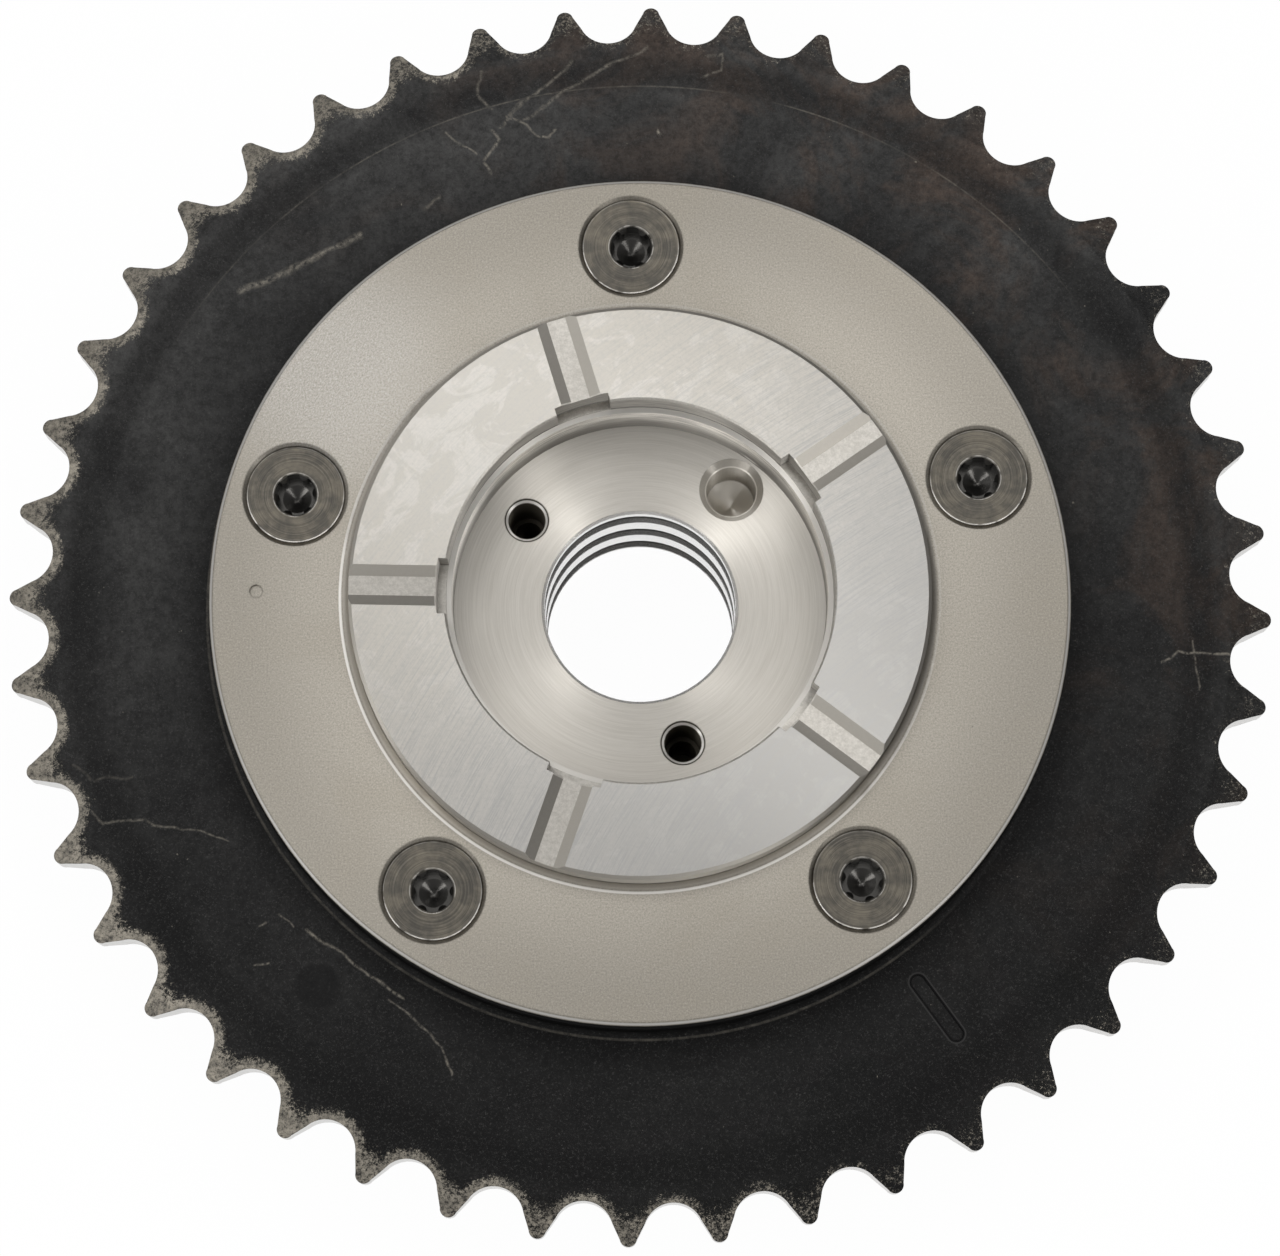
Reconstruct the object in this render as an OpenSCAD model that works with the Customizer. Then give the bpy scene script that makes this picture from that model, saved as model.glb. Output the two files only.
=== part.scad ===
// Vane-type cam phaser, lying on its front cover with the camshaft side up.
// The axis of rotation is Z, and the front cover's outer face is at Z = 0. All sizes in mm.

/* [Sprocket] */
// Pitch of the roller chain
chain_pitch = 9.525; // [9:0.005:12.7]
// Number of teeth
tooth_count = 44; // [42:2:52]
// Diameter of the chain's rollers
roller_d = 6.35; // [5.5:0.05:7]
// Room between a roller and its gullet, on radius
roller_gap = 0.04; // [0:0.01:0.2]
// Height of the tooth tips above the pitch circle
tip_rise = 1.25; // [0.8:0.05:1.8]
// Radius of a tooth's rounded tip
tip_round = 0.9; // [0.5:0.05:1.2]
// Width of the teeth along the axis
tooth_width = 5.3; // [4:0.1:7]
// Slope of each side of a tooth, from root to tip
tooth_bevel = 1.36; // [0.5:0.02:1.8]
// Turn of the first tooth from the X axis
first_tooth = -1.04; // [-4:0.02:4]
// Length of the oblong timing mark
mark_length = 8.3; // [4:0.1:10]
// Width of the timing mark
mark_width = 1.6; // [1:0.1:3]
// Depth of the timing mark
mark_depth = 0.2; // [0.1:0.05:0.5]
// Distance from the body to the timing mark
mark_inset = 3.5; // [2:0.1:6]
// Turn of the timing mark from the X axis
mark_turn = -54; // [-80:0.5:-30]

/* [Housing] */
// Diameter of the housing body and of its two covers
body_d = 91.3; // [88:0.1:98]
// Inside diameter of the vane chambers
chamber_d = 83; // [80:0.2:86]
// Height of the vane chambers
chamber_h = 16.4; // [15:0.2:20]
// Angle taken by one lobe between two chambers
lobe_angle = 23; // [20:0.5:26]
// Height of the toothed ring above the housing's lower face
ring_lift = 8.35; // [6:0.05:9]
// Fillet between the body and the toothed ring
body_fillet = 0.9; // [0.3:0.1:1.5]
// Turn of the first lobe and screw from the X axis
first_lobe_turn = 91.47; // [80:0.01:100]

/* [Covers] */
// Thickness of the rear plate
rear_plate_h = 4; // [3.6:0.1:6]
// Thickness of the front cover
front_cover_h = 5; // [4.5:0.1:8]
// Chamfer on the outer edges of both covers
edge_chamfer = 0.4; // [0.2:0.05:0.8]
// Width of the rounded rim of the rear plate's opening
rim_w = 1.15; // [0.5:0.05:1.5]
// Radius of that rim's curve
rim_r = 2.1; // [1.6:0.1:4]
// Diameter of the dot stamped in the rear plate
dot_d = 1.4; // [1:0.1:2]
// Depth of that dot
dot_depth = 0.3; // [0.1:0.05:0.6]
// Distance from the plate's edge to the dot
dot_inset = 5; // [3:0.1:6]
// Turn of the dot from the X axis
dot_turn = 179.5; // [175:0.5:185]

/* [Rotor] */
// Diameter of the rotor's hub
hub_d = 61.45; // [59:0.05:64]
// Height of the hub's face above the rear plate
hub_rise = 2.9; // [1.5:0.1:5]
// Chamfer at the edge of the hub's face
hub_chamfer = 0.35; // [0.1:0.05:0.8]
// Angle taken by one vane
vane_angle = 24; // [20:0.5:26]
// Angle left between a vane and its lobe at the stop
stop_turn = 0.6; // [0.4:0.1:1.5]
// Diameter of the spigot that turns in the front cover
spigot_d = 42; // [40:0.2:46]
// Depth of the spigot's end below the front cover's face
spigot_recess = 0.6; // [0.3:0.1:1]
// Running clearance of the rotor on radius
running_gap = 0.05; // [0.02:0.01:0.1]
// Clearance at each end of the vanes
side_gap = 0.05; // [0.02:0.01:0.1]
// Diameter of the oil ports from the bolt bore to the chambers
port_d = 2.4; // [1.6:0.1:2.6]
// Angle from a vane's flank to the oil port beside it
port_turn = 3; // [2.6:0.1:4]

/* [Camshaft seat] */
// Diameter of the bore for the camshaft's nose
nose_d = 40; // [38.6:0.1:40.4]
// Depth of the seat face below the hub's face
seat_depth = 9.75; // [8:0.05:11]
// Diameter of the wider mouth of that bore
mouth_d = 41.1; // [40.8:0.1:43]
// Depth of the mouth
mouth_depth = 3.7; // [2:0.1:6]
// Chamfer at the mouth's edge
mouth_chamfer = 0.2; // [0.1:0.05:0.5]
// Diameter of the bore for the centre bolt
bolt_bore_d = 20.6; // [18:0.1:22]
// Chamfer at both ends of the bolt bore
bolt_bore_chamfer = 0.3; // [0.1:0.05:0.5]
// Distance from the seat face to the first oil groove
first_oil_groove = 1.4; // [1:0.1:1.6]
// Width of one oil groove in the bolt bore
oil_groove_w = 3.2; // [2.6:0.1:3.4]
// Distance from the last oil groove to the spigot's end
last_oil_groove = 0.75; // [0.5:0.05:1.5]
// Depth of the oil grooves
oil_groove_depth = 1.2; // [0.6:0.1:1.6]
// Radius of the circle of the oil holes
oil_hole_circle_r = 15.5; // [14.5:0.1:16]
// Diameter of the oil holes
oil_hole_d = 3.9; // [3.2:0.1:4.4]
// Diameter of the narrow lower part of the oil holes
oil_drill_d = 3; // [2.4:0.1:3.2]
// Depth at which the oil holes narrow
oil_step_depth = 8; // [6:0.1:9]
// Depth of the oil holes below their cross drilling
oil_drill_end = 0.4; // [0.2:0.1:0.6]
// Chamfer of the oil holes
oil_hole_chamfer = 0.5; // [0.2:0.02:0.6]
// Diameter of the dowel hole
dowel_d = 5.4; // [4:0.1:5.8]
// Depth of the dowel hole to the start of its drill point
dowel_depth = 7; // [5:0.1:7.5]
// Diameter of the dowel hole's tapered lead at the seat face
dowel_lead_d = 6.94; // [6.2:0.02:7.4]
// Depth of that lead
dowel_lead_depth = 1; // [0.5:0.1:1.5]
// Radius from the axis to the dowel hole
dowel_circle_r = 16.25; // [15.5:0.05:16.25]
// Turn of the dowel hole from the X axis
dowel_turn = 52.6; // [48:0.1:56]

/* [Face grooves] */
// Width of a groove at the hub's face
face_groove_w = 4.33; // [3:0.05:6]
// Width of a groove's flat floor
face_groove_floor = 2.05; // [1:0.05:2.8]
// Depth of the grooves
face_groove_depth = 0.6; // [0.3:0.05:1.2]
// Angle from a screw to the groove next to it
face_groove_turn = 15.53; // [10:0.01:25]
// Width of the notch at a groove's inner end
notch_w = 5.9; // [5:0.1:8]
// Reach of the notch beyond the mouth
notch_reach = 0.95; // [0.5:0.05:2]
// Height of the notch's floor above the mouth's floor
notch_step = 0.2; // [0.1:0.1:1]

/* [Screws] */
// Diameter of the circle of the screws
screw_circle_d = 76.46; // [75:0.02:78]
// Diameter of the screw thread
screw_d = 5; // [4:0.1:5.6]
// Room round the screw shanks, on radius
screw_gap = 0.25; // [0.1:0.05:0.4]
// Room round the screw threads in the front cover, on radius
thread_gap = 0.02; // [0.01:0.01:0.05]
// Diameter of a screw head
head_d = 10.4; // [9:0.1:11]
// Height of the straight rim of a screw head
head_rim = 0.2; // [0.1:0.05:0.4]
// Depth of a screw head's face below the plate
head_sink = 0.25; // [0.1:0.05:0.5]
// Room between a screw head's cone and its seat
head_gap = 0.02; // [0.01:0.01:0.05]
// Depth of a screw's end below the front cover's face
screw_end_gap = 0.5; // [0.2:0.1:1]
// Width of the six-lobed drive, point to point
drive_d = 4.5; // [3.8:0.05:5]
// Depth of the drive's wall
drive_depth = 2.2; // [1.5:0.1:2.4]
// Chamfer round the drive's mouth
drive_chamfer = 0.12; // [0.05:0.01:0.2]

/* [Lock pin] */
// Diameter of the lock pin
pin_d = 8; // [7:0.1:8.6]
// Length of the lock pin
pin_length = 9; // [8:0.1:10]
// Thickness of the lock pin's end
pin_end = 2.6; // [2:0.1:3.5]
// Wall of the lock pin's hollow
pin_wall = 1.4; // [1:0.1:1.6]
// Depth of the pin's tip inside the vane when it is drawn back
pin_set = 0.3; // [0.2:0.05:0.6]
// Running clearance of the lock pin on radius
pin_gap = 0.03; // [0.02:0.01:0.08]
// Depth of the bore for the lock pin
pin_bore_depth = 14.4; // [13.5:0.1:15]
// Radius from the axis to the lock pin
pin_circle_r = 32.5; // [31.5:0.1:32.8]
// Outer diameter of the hardened seat in the front cover
lock_seat_d = 11.6; // [10.6:0.1:13]
// Height of that seat
lock_seat_h = 3.8; // [2.5:0.1:4]
// Room round the pin in its seat, on radius
lock_seat_gap = 0.3; // [0.1:0.05:0.5]
// Wire diameter of the lock spring
spring_wire = 0.8; // [0.5:0.05:0.9]
// Turns of the lock spring
spring_turns = 5; // [4:0.5:6]

/* [Seals] */
// Width of the seal strips
seal_w = 1.9; // [1.4:0.1:2.4]
// Room on each side of a seal strip
seal_side_gap = 0.05; // [0.02:0.01:0.1]
// Gap between a seal strip and the wall it seals on
seal_tip_gap = 0.03; // [0.02:0.01:0.05]
// Height of the seal strips in the vanes
vane_seal_h = 2.8; // [2.2:0.1:3.2]
// Depth of the seal slots in the vanes
vane_slot_depth = 4; // [3.6:0.1:4.2]
// Height of the seal strips in the lobes
lobe_seal_h = 2.1; // [1.6:0.1:2.4]
// Depth of the seal slots in the lobes
lobe_slot_depth = 3.2; // [2.9:0.1:3.5]
// Length of the leaf springs under the seal strips
leaf_length = 12; // [9:0.5:13]
// Width of the leaf springs
leaf_w = 1.5; // [1:0.1:1.8]
// Thickness of the leaf springs
leaf_t = 0.25; // [0.15:0.05:0.35]
// Gap at the leaf springs' contacts
leaf_gap = 0.02; // [0.01:0.01:0.05]

/* [Hidden] */
$fn = 96;

// Vanes, lobes, screws and face grooves all come in this number
vane_count = 5;
vane_step = 360 / vane_count;
vane_numbers = [1 : vane_count];

// How far each screw happens to be turned in its seat
drive_turns = [25, 38, 30, 20, 29];

// Turns of the two oil holes from the X axis
oil_hole_turns = [142, -72.8];

// Number of the vane that holds the lock pin
lock_vane = 1;
oil_groove_count = 3;

// Angle of a drill's point, and the broken edge inside the dowel hole
drill_point = 118;
dowel_edge = 0.12;

// Overlap of a cutting solid with open air
cut = 1;

// Radii
body_r = body_d / 2;
chamber_r = chamber_d / 2;
hub_r = hub_d / 2;
spigot_r = spigot_d / 2;
screw_r = screw_d / 2;
head_r = head_d / 2;
screw_hole_r = screw_r + screw_gap;
bolt_bore_r = bolt_bore_d / 2;
mouth_r = mouth_d / 2;
pin_r = pin_d / 2;
pitch_r = chain_pitch / (2 * sin(180 / tooth_count));
tip_r = pitch_r + tip_rise;
gullet_r = roller_d / 2 + roller_gap;
root_r = pitch_r - gullet_r;

// Heights
housing_z = front_cover_h;
ring_z = housing_z + ring_lift;
ring_top_z = ring_z + tooth_width;
plate_z = housing_z + chamber_h;
plate_top_z = plate_z + rear_plate_h;
face_z = plate_top_z + hub_rise;
seat_z = face_z - seat_depth;
vane_z = housing_z + side_gap;
vane_h = chamber_h - 2 * side_gap;

// The oil grooves are spread evenly over the bolt bore
oil_groove_span = seat_z - spigot_recess - first_oil_groove - last_oil_groove - oil_groove_w;
oil_groove_pitch = oil_groove_span / (oil_groove_count - 1);

// Turn of the rotor's parts from the lobe before them, at the stop
vane_turn = (lobe_angle + vane_angle) / 2 + stop_turn;

// The lock pin stands in the lock vane
pin_bore_r = pin_r + pin_gap;
pin_z = vane_z + pin_set;
pin_hollow_z = pin_z + pin_end;
pin_hollow_r = pin_r - pin_wall;
pin_bore_top_z = vane_z + pin_bore_depth;
spring_gap = 0.2;
spring_outer_r = pin_hollow_r - spring_gap;

// Flank of a tooth: the line that runs crosswise between the tip circle and the gullet circle,
// and passes just inside both
flank_bite = 0.03;
least_flank = 0.2;
tip_fillet = min(tip_round, chain_pitch / 2 - gullet_r - least_flank);
tip_centre = [tip_r - tip_fillet, 0];
gullet_centre = pitch_r * [cos(180 / tooth_count), sin(180 / tooth_count)];
flank_run = gullet_centre - tip_centre;
flank_radii = tip_fillet + gullet_r - 2 * flank_bite;
flank_normal_turn = atan2(flank_run[1], flank_run[0]) - acos(flank_radii / norm(flank_run));
flank_normal = [cos(flank_normal_turn), sin(flank_normal_turn)];
flank_top = tip_centre + (tip_fillet - flank_bite) * flank_normal;
flank_foot = gullet_centre - (gullet_r - flank_bite) * flank_normal;
flank_end = flank_foot + gullet_r / 2 * [-flank_normal[1], flank_normal[0]];
tooth_disc_r = norm(flank_foot) - flank_bite;

// Shape of the six-lobed drive, as shares of its width
drive_tooth_r = 0.115 * drive_d;
drive_neck_r = 0.39 * drive_d;
drive_floor_r = 0.34 * drive_d;
drive_floor_slope = 1 / 2;
drive_lap = 0.05;

function lobe_turn(i) = first_lobe_turn + (i - 1) * vane_step;
function rotor_turn(i) = lobe_turn(i) + vane_turn;

// A wedge of the given angle about the X axis, from inside the hub to past the chamber wall
module sector(angle) {
    slope = tan(angle / 2);
    near = hub_r * cos(angle / 2) - cut;
    far = chamber_r + cut;
    polygon([[near, -near * slope], [far, -far * slope], [far, far * slope], [near, near * slope]]);
}

// A ring of rectangular section
module ring(r_in, r_out, h) {
    difference() {
        cylinder(r = r_out, h = h);
        translate([0, 0, -cut]) cylinder(r = r_in, h = h + 2 * cut);
    }
}

// A drilled hole that goes down from Z = 0, with a chamfer at its mouth
module drilled(r, depth, chamfer) {
    translate([0, 0, -depth]) cylinder(r = r, h = depth + cut);
    translate([0, 0, -chamfer]) cylinder(r1 = r, r2 = r + chamfer + cut, h = chamfer + cut);
}

// Flat outline of one tooth pointing along X, from inside the root circle to its round tip
module tooth_outline() {
    translate(tip_centre) circle(r = tip_fillet);
    polygon([
        flank_end,
        flank_top,
        [flank_top[0], -flank_top[1]],
        [flank_end[0], -flank_end[1]]
    ]);
}

// Flat outline of the toothed ring: teeth on a disc, with round gullets between them
module sprocket_outline() {
    tooth_step = 360 / tooth_count;
    difference() {
        union() {
            circle(r = tooth_disc_r);
            for (k = [0 : tooth_count - 1])
                rotate(first_tooth + k * tooth_step) tooth_outline();
        }
        for (k = [0 : tooth_count - 1])
            rotate(first_tooth + (k + 0.5) * tooth_step) translate([pitch_r, 0]) circle(r = gullet_r);
    }
}

// The toothed ring with its sides sloping in towards the tips
module toothed_ring() {
    intersection() {
        translate([0, 0, ring_z]) linear_extrude(tooth_width) sprocket_outline();
        rotate_extrude() polygon([
            [0, ring_z],
            [root_r, ring_z],
            [tip_r, ring_z + tooth_bevel],
            [tip_r + cut, ring_z + tooth_bevel],
            [tip_r + cut, ring_top_z - tooth_bevel],
            [tip_r, ring_top_z - tooth_bevel],
            [root_r, ring_top_z],
            [0, ring_top_z]
        ]);
    }
}

// Fillet between the body and the upper side of the toothed ring
module ring_fillet() {
    rotate_extrude() difference() {
        translate([body_r - cut, 0]) square([body_fillet + cut, body_fillet]);
        translate([body_r + body_fillet, body_fillet]) circle(r = body_fillet);
    }
}

// Flat outline of the space for the rotor: the hub's bore and the chambers between the lobes
module chamber_outline() {
    circle(r = hub_r + running_gap);
    difference() {
        circle(r = chamber_r);
        for (i = vane_numbers) rotate(lobe_turn(i)) sector(lobe_angle);
    }
}

// The oblong timing mark, lying along X
module timing_mark() {
    straight = mark_length - mark_width;
    translate([body_r + mark_inset + mark_width / 2, 0]) {
        translate([0, -mark_width / 2]) square([straight, mark_width]);
        for (x = [0, straight]) translate([x, 0]) circle(d = mark_width);
    }
}

module sprocket_housing() {
    slot_w = seal_w + 2 * seal_side_gap;
    color("#262528") difference() {
        union() {
            translate([0, 0, housing_z]) cylinder(r = body_r, h = chamber_h);
            toothed_ring();
            translate([0, 0, ring_top_z]) ring_fillet();
            translate([0, 0, ring_z]) mirror([0, 0, 1]) ring_fillet();
        }
        translate([0, 0, housing_z - cut]) linear_extrude(chamber_h + 2 * cut) chamber_outline();
        for (i = vane_numbers) rotate(lobe_turn(i)) {
            translate([screw_circle_d / 2, 0, housing_z - cut])
                cylinder(r = screw_hole_r, h = chamber_h + 2 * cut);
            translate([hub_r - cut, -slot_w / 2, housing_z - cut])
                cube([lobe_slot_depth + running_gap + cut, slot_w, chamber_h + 2 * cut]);
        }
        rotate(mark_turn) translate([0, 0, ring_top_z - mark_depth])
            linear_extrude(mark_depth + cut) timing_mark();
    }
}

// Profile of the rear plate: chamfered outside, with a rounded rim at the opening
module rear_plate_profile() {
    opening_r = hub_r + running_gap;
    difference() {
        polygon([
            [opening_r, 0],
            [body_r - edge_chamfer, 0],
            [body_r, edge_chamfer],
            [body_r, rear_plate_h - edge_chamfer],
            [body_r - edge_chamfer, rear_plate_h],
            [opening_r, rear_plate_h]
        ]);
        difference() {
            translate([opening_r - cut, rear_plate_h - rim_r])
                square([rim_w + cut, rim_r + cut]);
            translate([opening_r + rim_w, rear_plate_h - rim_r]) circle(r = rim_r);
        }
    }
}

// Countersunk hole through the rear plate, going down from Z = 0
module countersunk_hole() {
    seat_r = head_r + head_sink + head_rim + head_gap;
    translate([0, 0, -rear_plate_h - cut]) cylinder(r = screw_hole_r, h = rear_plate_h + 2 * cut);
    translate([0, 0, screw_hole_r - seat_r])
        cylinder(r1 = screw_hole_r, r2 = seat_r + cut, h = seat_r - screw_hole_r + cut);
}

module rear_plate() {
    color("#b9b5ab") difference() {
        translate([0, 0, plate_z]) rotate_extrude() rear_plate_profile();
        for (i = vane_numbers) rotate(lobe_turn(i))
            translate([screw_circle_d / 2, 0, plate_top_z]) countersunk_hole();
        rotate(dot_turn) translate([body_r - dot_inset, 0, plate_top_z - dot_depth])
            cylinder(d = dot_d, h = dot_depth + cut);
    }
}

module front_cover() {
    opening_r = spigot_r + running_gap;
    color("#8f8d88") difference() {
        rotate_extrude() polygon([
            [opening_r + edge_chamfer, 0],
            [body_r - edge_chamfer, 0],
            [body_r, edge_chamfer],
            [body_r, front_cover_h],
            [opening_r, front_cover_h],
            [opening_r, edge_chamfer]
        ]);
        for (i = vane_numbers) rotate(lobe_turn(i)) translate([screw_circle_d / 2, 0, 0])
            mirror([0, 0, 1]) drilled(screw_r + thread_gap, front_cover_h + cut, edge_chamfer);
        rotate(rotor_turn(lock_vane)) translate([pin_circle_r, 0, front_cover_h - lock_seat_h])
            cylinder(d = lock_seat_d, h = lock_seat_h + cut);
    }
}

// Flat outline of the rotor between the covers: the hub with its vanes
module vanes_outline() {
    circle(r = hub_r);
    for (i = vane_numbers) rotate(rotor_turn(i)) intersection() {
        circle(r = chamber_r - running_gap);
        sector(vane_angle);
    }
}

// Solid rotor: the vanes between the covers, with the turned spigot below and the hub above
module rotor_blank() {
    translate([0, 0, vane_z]) linear_extrude(vane_h) vanes_outline();
    rotate_extrude() polygon([
        [0, spigot_recess],
        [spigot_r, spigot_recess],
        [spigot_r, vane_z + cut],
        [hub_r, vane_z + cut],
        [hub_r, face_z - hub_chamfer],
        [hub_r - hub_chamfer, face_z],
        [0, face_z]
    ]);
}

function oil_groove_z(k) = seat_z - first_oil_groove - oil_groove_w / 2 - k * oil_groove_pitch;

// Turned inside of the rotor: the bolt bore with its oil grooves, the nose bore and the mouth
module camshaft_seat() {
    groove_r = bolt_bore_r + oil_groove_depth;
    mouth_z = face_z - mouth_depth;
    grooves = [for (k = [0 : oil_groove_count - 1]) let (z = oil_groove_z(k)) each [
        [bolt_bore_r, z + oil_groove_w / 2],
        [groove_r, z + oil_groove_w / 2],
        [groove_r, z - oil_groove_w / 2],
        [bolt_bore_r, z - oil_groove_w / 2]
    ]];
    rotate_extrude() polygon(concat(
        [
            [0, face_z + cut],
            [mouth_r + mouth_chamfer + cut, face_z + cut],
            [mouth_r, face_z - mouth_chamfer],
            [mouth_r, mouth_z],
            [nose_d / 2, mouth_z],
            [nose_d / 2, seat_z],
            [bolt_bore_r + bolt_bore_chamfer, seat_z],
            [bolt_bore_r, seat_z - bolt_bore_chamfer]
        ],
        grooves,
        [
            [bolt_bore_r, spigot_recess + bolt_bore_chamfer],
            [bolt_bore_r + bolt_bore_chamfer + cut, spigot_recess - cut],
            [0, spigot_recess - cut]
        ]
    ));
}

// Sloping-sided groove along X in the hub's face, with the notch at its inner end
module face_groove() {
    length = hub_r - mouth_r + 2 * cut;
    notch_depth = mouth_depth - notch_step;
    translate([mouth_r - cut, 0, face_z]) rotate([90, 0, 90]) linear_extrude(length) polygon([
        [-face_groove_w / 2, cut],
        [-face_groove_w / 2, 0],
        [-face_groove_floor / 2, -face_groove_depth],
        [face_groove_floor / 2, -face_groove_depth],
        [face_groove_w / 2, 0],
        [face_groove_w / 2, cut]
    ]);
    translate([0, 0, face_z - notch_depth]) linear_extrude(notch_depth + cut) intersection() {
        circle(r = mouth_r + notch_reach);
        translate([mouth_r - cut, -notch_w / 2]) square([notch_reach + 2 * cut, notch_w]);
    }
}

// Stepped oil hole in the seat face, joined to the last oil groove by a cross drilling
module oil_hole() {
    feed_z = oil_groove_z(oil_groove_count - 1);
    translate([oil_hole_circle_r, 0, seat_z]) {
        drilled(oil_hole_d / 2, oil_step_depth, oil_hole_chamfer);
        drilled(oil_drill_d / 2, seat_z - feed_z + port_d / 2 + oil_drill_end, 0);
    }
    translate([bolt_bore_r, 0, feed_z]) rotate([0, 90, 0])
        cylinder(d = port_d, h = oil_hole_circle_r - bolt_bore_r);
}

// Dowel hole that goes down from Z = 0: a tapered lead with a broken edge, and a drill point
module dowel_hole() {
    r = dowel_d / 2;
    lead_r = dowel_lead_d / 2;
    taper = (lead_r - r - dowel_edge) / dowel_lead_depth;
    rotate_extrude() polygon([
        [0, cut],
        [lead_r + taper * cut, cut],
        [r + dowel_edge, -dowel_lead_depth],
        [r, -dowel_lead_depth - dowel_edge],
        [r, -dowel_depth],
        [0, -dowel_depth - r / tan(drill_point / 2)]
    ]);
}

// Oil port along X from an oil groove to the outside of the hub
module oil_port(groove) {
    translate([bolt_bore_r, 0, oil_groove_z(groove)]) rotate([0, 90, 0])
        cylinder(d = port_d, h = hub_r - bolt_bore_r + cut);
}

module rotor() {
    slot_w = seal_w + 2 * seal_side_gap;
    slot_floor_r = chamber_r - running_gap - vane_slot_depth;
    flank_turn = vane_angle / 2 + port_turn;
    color("#c4c2bb") difference() {
        rotor_blank();
        camshaft_seat();
        for (i = vane_numbers) {
            rotate(lobe_turn(i) + face_groove_turn) face_groove();
            rotate(rotor_turn(i)) {
                translate([slot_floor_r, -slot_w / 2, vane_z - cut])
                    cube([vane_slot_depth + cut, slot_w, vane_h + 2 * cut]);
                rotate(-flank_turn) oil_port(0);
                rotate(flank_turn) oil_port(1);
            }
        }
        for (turn = oil_hole_turns) rotate(turn) oil_hole();
        rotate(dowel_turn) translate([dowel_circle_r, 0, seat_z]) dowel_hole();
        rotate(rotor_turn(lock_vane)) translate([pin_circle_r, 0, vane_z - cut])
            cylinder(r = pin_bore_r, h = pin_bore_depth + cut);
    }
}

// Flat outline of the six-lobed drive: a circle with six round teeth, and a lobe along X
module drive_outline() {
    difference() {
        circle(d = drive_d);
        for (k = [0 : 5]) rotate(30 + 60 * k)
            translate([drive_neck_r + drive_tooth_r, 0]) circle(r = drive_tooth_r);
    }
}

// Six-lobed drive that goes down from Z = 0, with a conical mouth and a pointed floor
module drive() {
    lead_r = drive_d / 2 + drive_chamfer;
    lead_h = lead_r - drive_neck_r + drive_lap;
    floor_h = drive_floor_r * drive_floor_slope + drive_lap;
    translate([0, 0, -drive_depth]) linear_extrude(drive_depth + cut) drive_outline();
    translate([0, 0, -lead_h]) cylinder(r1 = lead_r - lead_h, r2 = lead_r + cut, h = lead_h + cut);
    translate([0, 0, -drive_depth - floor_h + drive_lap])
        cylinder(r1 = 0, r2 = floor_h / drive_floor_slope, h = floor_h);
}

// Countersunk screw hanging down from its head's face at Z = 0
module cover_screw(turn) {
    length = plate_top_z - head_sink - screw_end_gap;
    difference() {
        union() {
            translate([0, 0, -head_rim]) cylinder(r = head_r, h = head_rim);
            translate([0, 0, screw_r - head_r - head_rim])
                cylinder(r1 = screw_r, r2 = head_r, h = head_r - screw_r);
            translate([0, 0, -length]) cylinder(r = screw_r, h = length - head_rim);
        }
        rotate(turn) drive();
    }
}

module cover_screws() {
    color("#6f6a62") for (i = vane_numbers) rotate(lobe_turn(i))
        translate([screw_circle_d / 2, 0, plate_top_z - head_sink])
            cover_screw(drive_turns[i - 1] - lobe_turn(i));
}

// Hollow lock pin with a chamfered tip, drawn back into its vane
module lock_pin() {
    tip_chamfer = pin_wall / 2;
    color("#9a9a9c") rotate(rotor_turn(lock_vane)) translate([pin_circle_r, 0, pin_z]) difference() {
        rotate_extrude() polygon([
            [0, 0],
            [pin_r - tip_chamfer, 0],
            [pin_r, tip_chamfer],
            [pin_r, pin_length],
            [0, pin_length]
        ]);
        translate([0, 0, pin_end]) cylinder(r = pin_hollow_r, h = pin_length);
    }
}

// Coil of round wire: a curved slice of the wire, twisted up the coil's axis
module lock_spring() {
    spring_h = pin_bore_top_z - pin_hollow_z;
    wire_r = spring_wire / 2;
    coil_r = spring_outer_r - wire_r;
    half_turn = 180 * spring_wire * spring_turns / spring_h;
    steps = 5;
    function half_width(t) = wire_r * sqrt(max(0, 1 - t * t));
    outer = [for (k = [-steps : steps]) let (t = k / steps)
        (coil_r + half_width(t)) * [cos(t * half_turn), sin(t * half_turn)]];
    inner = [for (k = [steps - 1 : -1 : 1 - steps]) let (t = k / steps)
        (coil_r - half_width(t)) * [cos(t * half_turn), sin(t * half_turn)]];
    color("#a5a39c") rotate(rotor_turn(lock_vane)) translate([pin_circle_r, 0, pin_hollow_z])
        linear_extrude(spring_h, twist = -360 * spring_turns, slices = 20 * spring_turns, $fn = 16)
            polygon(concat(outer, inner));
}

module lock_seat() {
    color("#7d7b78") rotate(rotor_turn(lock_vane))
        translate([pin_circle_r, 0, front_cover_h - lock_seat_h])
            ring(pin_r + lock_seat_gap, lock_seat_d / 2, lock_seat_h);
}

// Bowed leaf spring that fills a free height along X from its slot's floor at X = 0
module leaf_spring(free_h) {
    rise = free_h - leaf_t - 2 * leaf_gap;
    bend_r = leaf_length * leaf_length / (8 * rise) + rise / 2;
    rotate([-90, -90, 0]) translate([0, leaf_gap + rise - bend_r, -leaf_w / 2])
        linear_extrude(leaf_w) intersection() {
            difference() {
                circle(r = bend_r + leaf_t, $fn = 4 * $fn);
                circle(r = bend_r, $fn = 4 * $fn);
            }
            translate([-leaf_length / 2, 0]) square([leaf_length, bend_r + leaf_t + cut]);
        }
}

module vane_seal(i) {
    tip = chamber_r - seal_tip_gap;
    color("#4a4a4c") rotate(rotor_turn(i)) translate([0, 0, vane_z]) intersection() {
        cylinder(r = tip, h = vane_h);
        translate([tip - vane_seal_h, -seal_w / 2, 0]) cube([vane_seal_h + cut, seal_w, vane_h]);
    }
}

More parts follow.
